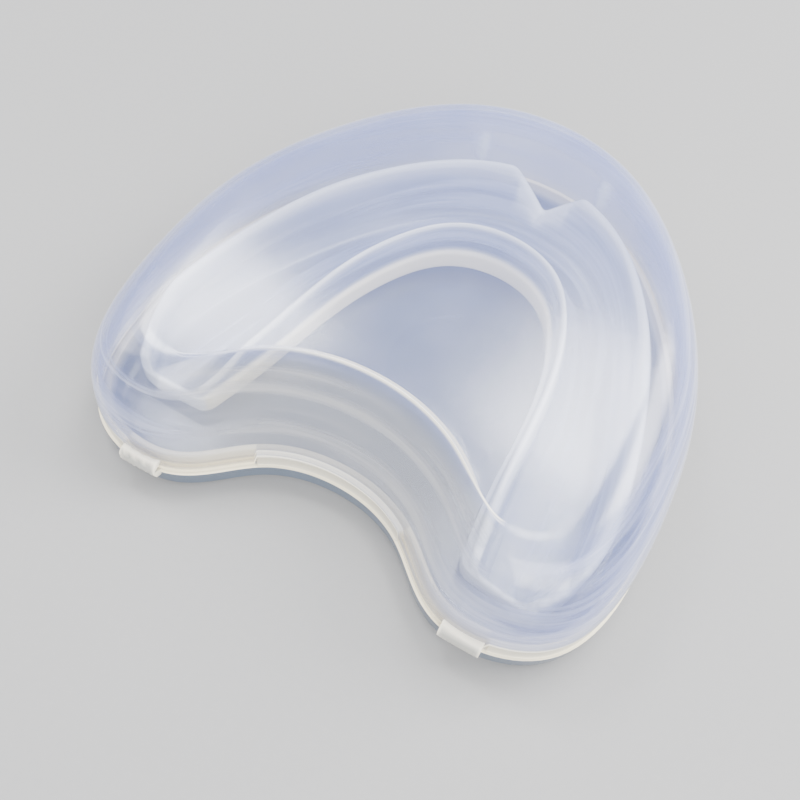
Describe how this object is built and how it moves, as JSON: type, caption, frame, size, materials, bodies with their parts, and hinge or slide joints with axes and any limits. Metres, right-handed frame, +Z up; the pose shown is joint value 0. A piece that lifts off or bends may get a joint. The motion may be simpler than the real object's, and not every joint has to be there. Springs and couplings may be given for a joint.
{
  "type": "mouthguard with case",
  "caption": "Boil-and-bite mouthguard lying in a translucent kidney-shaped case: a shallow tray and a deep domed lid joined by two living-hinge straps.",
  "frame": {"origin": "middle of the closed case's footprint, on the flat underside of the tray", "axes": "+Z up through the lid, +Y towards the rear lobes and the hinges, -Y towards the rounded front, X across the case"},
  "size_m": [0.0798, 0.0826, 0.0226],
  "materials": {
    "lid_plastic": "translucent frosted polypropylene, faintly lavender, smooth outside",
    "tray_plastic": "translucent frosted polypropylene, milky where it is thick",
    "hinge_plastic": "milky polypropylene, whitened by folding",
    "guard_eva": "clear EVA, soft gloss, milky at its thick edges"
  },
  "bodies": {
    "tray": {"base_tray": "tray_plastic", "hinge_left_base_leaf": "hinge_plastic", "hinge_right_base_leaf": "hinge_plastic"},
    "lid": {"lid_shell": "lid_plastic", "hinge_left_lid_leaf": "hinge_plastic", "hinge_right_lid_leaf": "hinge_plastic"},
    "guard": {"mouthguard": "guard_eva"}
  },
  "joints": [
    {"name": "lid_hinge", "type": "hinge", "parent": "tray", "child": "lid", "pos_m": [0, 0.04135, 0.0042], "axis": [-1, 0, 0], "range_deg": [0, 120]},
    {"name": "guard_lift", "type": "slide", "parent": "tray", "child": "guard", "axis": [0, 0, 1], "range_m": [0, 0.003]}
  ]
}
